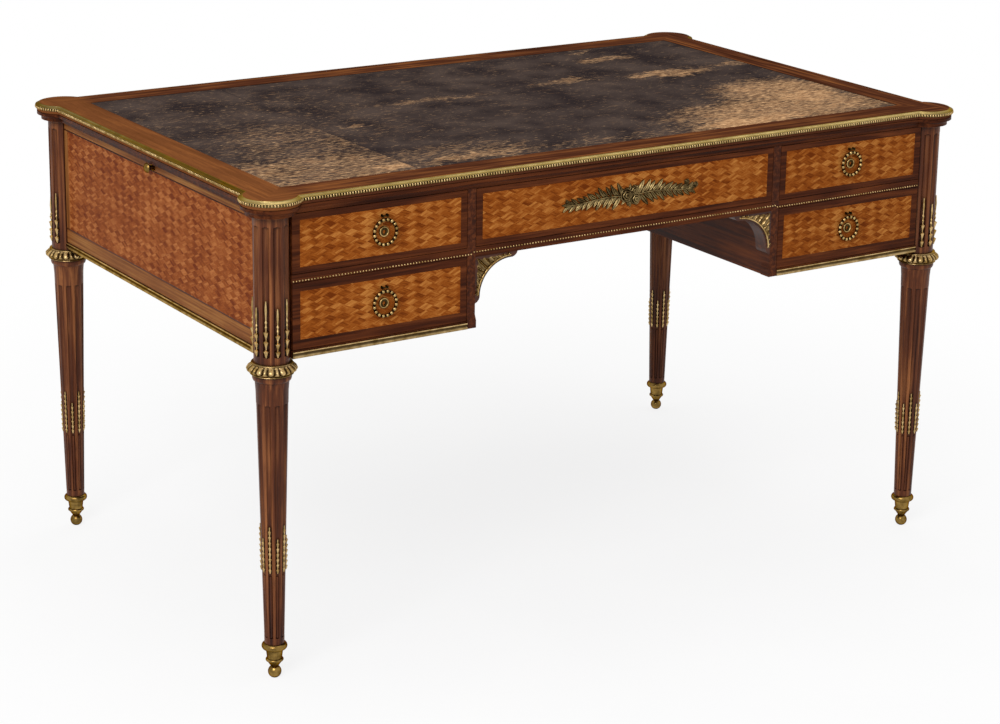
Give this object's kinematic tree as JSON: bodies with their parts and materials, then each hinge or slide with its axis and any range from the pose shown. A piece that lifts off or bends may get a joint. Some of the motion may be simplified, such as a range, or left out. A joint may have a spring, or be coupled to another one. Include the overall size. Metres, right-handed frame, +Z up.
{
  "type": "writing table",
  "caption": "Kneehole writing table with a leather top, sliding drawers, pull-out end slides, ring pulls and turned fluted legs on brass toe caps.",
  "frame": {"origin": "on the floor under the middle of the table", "axes": "+X along the width to the right as seen from the drawer side, +Y towards the back, +Z up"},
  "size_m": [1.374, 0.85, 0.77],
  "materials": {
    "mahogany": "old french polish, satin gloss",
    "parquetry": "lozenge parquetry under old polish",
    "oak": "planed, bare",
    "gilt_bronze": "worn gilding with dark recesses",
    "brass": "aged lacquer",
    "leather": "worn, scuffed, half matt",
    "lock_iron": "filed iron"
  },
  "bodies": {
    "carcass": {"back_panels": "parquetry", "base_strips": "gilt_bronze", "bead_strips": "gilt_bronze", "bracket_mounts": "gilt_bronze", "column_husks": "gilt_bronze", "cornice": "mahogany", "divider_centre": "mahogany", "divider_left": "mahogany", "divider_right": "mahogany", "end_panel_left": "parquetry", "end_panel_right": "parquetry", "knee_bracket_left": "mahogany", "knee_bracket_right": "mahogany", "knee_wall_left": "mahogany", "knee_wall_right": "mahogany", "leg_back_left": "mahogany", "leg_back_right": "mahogany", "leg_collars": "gilt_bronze", "leg_front_left": "mahogany", "leg_front_right": "mahogany", "leg_husks": "gilt_bronze", "pedestal_floor_left": "mahogany", "pedestal_floor_right": "mahogany", "slide_bearers": "oak", "toe_cap_back_left": "brass", "toe_cap_back_right": "brass", "toe_cap_front_left": "brass", "toe_cap_front_right": "brass", "top_board": "mahogany", "top_rim": "brass", "writing_leather": "leather"},
    "drawer_upper_left": {"drawer_upper_left_front": "parquetry", "drawer_upper_left_box": "oak", "drawer_upper_left_keyhole_plate": "gilt_bronze", "drawer_upper_left_lock": "lock_iron"},
    "drawer_upper_left_pull": {"drawer_upper_left_ring": "gilt_bronze"},
    "drawer_lower_left": {"drawer_lower_left_front": "parquetry", "drawer_lower_left_box": "oak", "drawer_lower_left_keyhole_plate": "gilt_bronze", "drawer_lower_left_lock": "lock_iron"},
    "drawer_lower_left_pull": {"drawer_lower_left_ring": "gilt_bronze"},
    "drawer_upper_right": {"drawer_upper_right_front": "parquetry", "drawer_upper_right_box": "oak", "drawer_upper_right_keyhole_plate": "gilt_bronze", "drawer_upper_right_lock": "lock_iron"},
    "drawer_upper_right_pull": {"drawer_upper_right_ring": "gilt_bronze"},
    "drawer_lower_right": {"drawer_lower_right_front": "parquetry", "drawer_lower_right_box": "oak", "drawer_lower_right_keyhole_plate": "gilt_bronze", "drawer_lower_right_lock": "lock_iron"},
    "drawer_lower_right_pull": {"drawer_lower_right_ring": "gilt_bronze"},
    "drawer_centre": {"drawer_centre_front": "parquetry", "drawer_centre_box": "oak", "centre_spray": "gilt_bronze"},
    "slide_left": {"slide_front_left": "mahogany", "slide_board_left": "mahogany", "slide_knob_left": "brass"},
    "slide_right": {"slide_front_right": "mahogany", "slide_board_right": "mahogany", "slide_knob_right": "brass"}
  },
  "joints": [
    {"name": "drawer_upper_left_run", "type": "slide", "parent": "carcass", "child": "drawer_upper_left", "axis": [0, -1, 0], "range_m": [0, 0.38]},
    {"name": "drawer_lower_left_run", "type": "slide", "parent": "carcass", "child": "drawer_lower_left", "axis": [0, -1, 0], "range_m": [0, 0.38]},
    {"name": "drawer_upper_right_run", "type": "slide", "parent": "carcass", "child": "drawer_upper_right", "axis": [0, -1, 0], "range_m": [0, 0.38]},
    {"name": "drawer_lower_right_run", "type": "slide", "parent": "carcass", "child": "drawer_lower_right", "axis": [0, -1, 0], "range_m": [0, 0.38]},
    {"name": "drawer_centre_run", "type": "slide", "parent": "carcass", "child": "drawer_centre", "axis": [0, -1, 0], "range_m": [0, 0.38]},
    {"name": "drawer_upper_left_pull_swing", "type": "hinge", "parent": "drawer_upper_left", "child": "drawer_upper_left_pull", "pos_m": [-0.4565, -0.4015, 0.7205], "axis": [-1, 0, 0], "range_deg": [0, 90]},
    {"name": "drawer_lower_left_pull_swing", "type": "hinge", "parent": "drawer_lower_left", "child": "drawer_lower_left_pull", "pos_m": [-0.4565, -0.4015, 0.608], "axis": [-1, 0, 0], "range_deg": [0, 90]},
    {"name": "drawer_upper_right_pull_swing", "type": "hinge", "parent": "drawer_upper_right", "child": "drawer_upper_right_pull", "pos_m": [0.4565, -0.4015, 0.7205], "axis": [-1, 0, 0], "range_deg": [0, 90]},
    {"name": "drawer_lower_right_pull_swing", "type": "hinge", "parent": "drawer_lower_right", "child": "drawer_lower_right_pull", "pos_m": [0.4565, -0.4015, 0.608], "axis": [-1, 0, 0], "range_deg": [0, 90]},
    {"name": "slide_left_run", "type": "slide", "parent": "carcass", "child": "slide_left", "axis": [-1, 0, 0], "range_m": [0, 0.25]},
    {"name": "slide_right_run", "type": "slide", "parent": "carcass", "child": "slide_right", "axis": [1, 0, 0], "range_m": [0, 0.25]}
  ]
}
